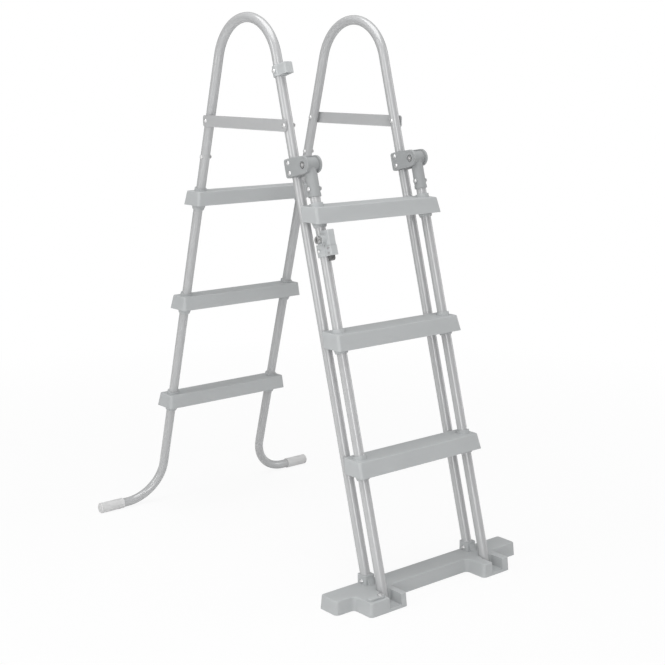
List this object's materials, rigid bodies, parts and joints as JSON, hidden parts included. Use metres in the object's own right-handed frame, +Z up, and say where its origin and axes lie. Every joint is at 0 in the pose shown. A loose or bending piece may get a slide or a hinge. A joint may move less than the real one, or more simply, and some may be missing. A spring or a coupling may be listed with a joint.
{
  "type": "pool ladder",
  "caption": "A-frame safety ladder for an above-ground pool: tube side frames, moulded treads on both sides, and an outer section that flips up and locks.",
  "frame": {"origin": "bottom centre of the bounding box, on the ground", "axes": "+X along the treads, to the right of someone who faces the pool; +Y from the outside to the pool; +Z up"},
  "size_m": [0.76, 1.0718, 1.4137],
  "materials": {
    "tube_paint": "satin powder coat",
    "strap_paint": "satin powder coat",
    "tread_plastic": "fine grain",
    "base_plastic": "fine grain",
    "bracket_plastic": "fine grain",
    "cap_plastic": "ribbed",
    "lock_plastic": "fine grain",
    "lock_steel": "satin chrome",
    "fastener_steel": "zinc plated"
  },
  "bodies": {
    "frame": {"left_handrail": "tube_paint", "left_pool_leg": "tube_paint", "left_outer_leg": "tube_paint", "left_strap": "strap_paint", "left_foot_cap": "cap_plastic", "left_bracket_outer": "bracket_plastic", "left_bracket_inner": "bracket_plastic", "left_pivot_bolt": "fastener_steel", "right_handrail": "tube_paint", "right_pool_leg": "tube_paint", "right_outer_leg": "tube_paint", "right_strap": "strap_paint", "right_foot_cap": "cap_plastic", "right_bracket_outer": "bracket_plastic", "right_bracket_inner": "bracket_plastic", "right_pivot_bolt": "fastener_steel", "pool_tread_bottom": "tread_plastic", "pool_tread_middle": "tread_plastic", "pool_tread_top": "tread_plastic", "base": "base_plastic", "pivot_nuts": "fastener_steel", "splice_bolts": "fastener_steel", "splice_nuts": "fastener_steel", "strap_bolts": "fastener_steel", "strap_nuts": "fastener_steel", "base_socket_bolts": "fastener_steel", "base_socket_nuts": "fastener_steel", "bracket_bolts": "fastener_steel", "bracket_nuts": "fastener_steel", "foot_latch_pin": "fastener_steel", "catch_near_half": "lock_plastic", "catch_far_half": "lock_plastic", "catch_bolt": "fastener_steel", "catch_nut": "fastener_steel"},
    "step_section": {"left_rail": "tube_paint", "right_rail": "tube_paint", "left_rail_tee": "bracket_plastic", "right_rail_tee": "bracket_plastic", "outer_tread_bottom": "tread_plastic", "outer_tread_middle": "tread_plastic", "outer_tread_top": "tread_plastic", "rail_plugs": "cap_plastic", "tee_bolts": "fastener_steel", "tee_nuts": "fastener_steel", "lock_body": "lock_plastic", "lock_screws": "fastener_steel"},
    "key": {"key_cylinder": "lock_steel"},
    "latch": {"latch_bolt": "lock_steel"},
    "foot_latch": {"foot_latch": "lock_plastic"}
  },
  "joints": [
    {"name": "flip_up", "type": "hinge", "parent": "frame", "child": "step_section", "pos_m": [0, -0.20887, 1.046], "axis": [-1, 0, 0], "range_deg": [0, 180]},
    {"name": "key_turn", "type": "hinge", "parent": "step_section", "child": "key", "pos_m": [-0.202, -0.27363, 0.86985], "axis": [-1, 0, 0], "range_deg": [0, 90]},
    {"name": "latch_slide", "type": "slide", "parent": "step_section", "child": "latch", "axis": [0, 0.2638, 0.9646], "range_m": [0, 0.012], "stiffness_N_per_m": 100, "springref_m": -0.012},
    {"name": "foot_latch_turn", "type": "hinge", "parent": "frame", "child": "foot_latch", "pos_m": [-0.211, -0.51495, 0.038], "axis": [0, 0, 1], "range_deg": [0, 180]}
  ],
  "couplings": [
    {"joint": "key_turn", "follows": "latch_slide", "rad_per_m": 130.83}
  ]
}
